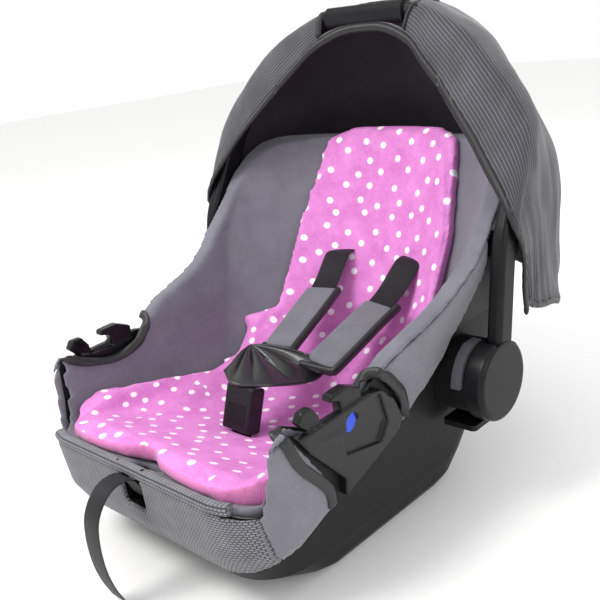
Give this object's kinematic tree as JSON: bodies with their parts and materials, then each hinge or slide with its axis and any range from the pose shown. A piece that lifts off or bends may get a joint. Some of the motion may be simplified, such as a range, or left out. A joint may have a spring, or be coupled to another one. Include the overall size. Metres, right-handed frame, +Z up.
{
  "type": "infant car seat",
  "caption": "Rear-facing infant carrier seat: padded bucket shell with harness, belt guides, folding fabric canopy and swinging carry handle.",
  "frame": {"origin": "middle of the whole object on the floor under its flat base", "axes": "+Z up; +Y towards the head end, where the canopy is; -Y towards the feet end; X across, with the left side as seen from the feet end at -X"},
  "size_m": [0.4636, 0.6224, 0.5363],
  "materials": {
    "shell_plastic": "satin black moulded plastic",
    "foam": "pale bead foam",
    "pad_rubber": "matt",
    "cover_knit": "mid-grey fine knit",
    "apron_mesh": "dark grey waffle mesh",
    "black_tape": "black woven binding tape",
    "pink_fleece": "pink plush with white dots",
    "guide_plastic": "black, slightly glossy",
    "blue_mark": "glossy blue",
    "webbing": "black polyester webbing",
    "pad_fabric": "grey with black binding",
    "joiner_satin": "black pleated satin",
    "steel": "zinc-plated steel",
    "buckle_plastic": "black",
    "button_plastic": "dark grey",
    "handle_plastic": "satin black",
    "grip_rubber": "soft touch black",
    "key_plastic": "grey",
    "canopy_fabric": "dark grey with fine pinstripes"
  },
  "bodies": {
    "seat": {"shell_tub": "shell_plastic", "shell_foam": "foam", "base_pads": "pad_rubber", "cover_lining": "cover_knit", "cover_rim": "cover_knit", "cover_lip_left": "cover_knit", "cover_lip_right": "cover_knit", "cover_apron": "apron_mesh", "cover_flap": "cover_knit", "cover_corner_left": "cover_knit", "cover_corner_right": "cover_knit", "cover_binding_left": "black_tape", "cover_binding_right": "black_tape", "liner_pad": "pink_fleece", "belt_guide_left": "guide_plastic", "belt_guide_right": "guide_plastic", "belt_mark_left": "blue_mark", "belt_mark_right": "blue_mark", "shoulder_strap_left": "webbing", "shoulder_strap_right": "webbing", "shoulder_pad_left": "pad_fabric", "shoulder_pad_right": "pad_fabric", "strap_joiner": "joiner_satin", "strap_tongues": "steel", "buckle_body": "buckle_plastic", "crotch_strap": "webbing", "adjuster_tail": "webbing", "adjuster_housing": "buckle_plastic", "yoke_plate": "steel", "rear_webbing": "webbing", "hub_housing_left": "shell_plastic", "hub_housing_right": "shell_plastic", "hub_pin_left": "steel", "hub_pin_right": "steel", "canopy_skirt": "canopy_fabric"},
    "handle": {"handle_bow": "handle_plastic", "handle_grip": "grip_rubber", "hub_cover_left": "handle_plastic", "hub_cover_right": "handle_plastic", "canopy_hood": "canopy_fabric"},
    "release_left": {"release_key_left": "key_plastic"},
    "release_right": {"release_key_right": "key_plastic"},
    "push_panel": {"buckle_button": "button_plastic"},
    "adjuster_lever": {"adjuster_lever": "button_plastic"}
  },
  "joints": [
    {"name": "handle_swing", "type": "hinge", "parent": "seat", "child": "handle", "pos_m": [0, 0.054, 0.15], "axis": [-1, 0, 0], "range_deg": [0, 85], "deforming": ["canopy_hood", "canopy_skirt"]},
    {"name": "release_press_left", "type": "slide", "parent": "seat", "child": "release_left", "axis": [0, 1, 0], "range_m": [0, 0.004], "stiffness_N_per_m": 400},
    {"name": "release_press_right", "type": "slide", "parent": "seat", "child": "release_right", "axis": [0, 1, 0], "range_m": [0, 0.004], "stiffness_N_per_m": 400},
    {"name": "buckle_press", "type": "slide", "parent": "seat", "child": "push_panel", "axis": [0, 0.9404, -0.3401], "range_m": [0, 0.003], "stiffness_N_per_m": 500},
    {"name": "adjuster_press", "type": "slide", "parent": "seat", "child": "adjuster_lever", "axis": [0, 0, -1], "range_m": [0, 0.003], "stiffness_N_per_m": 500}
  ]
}
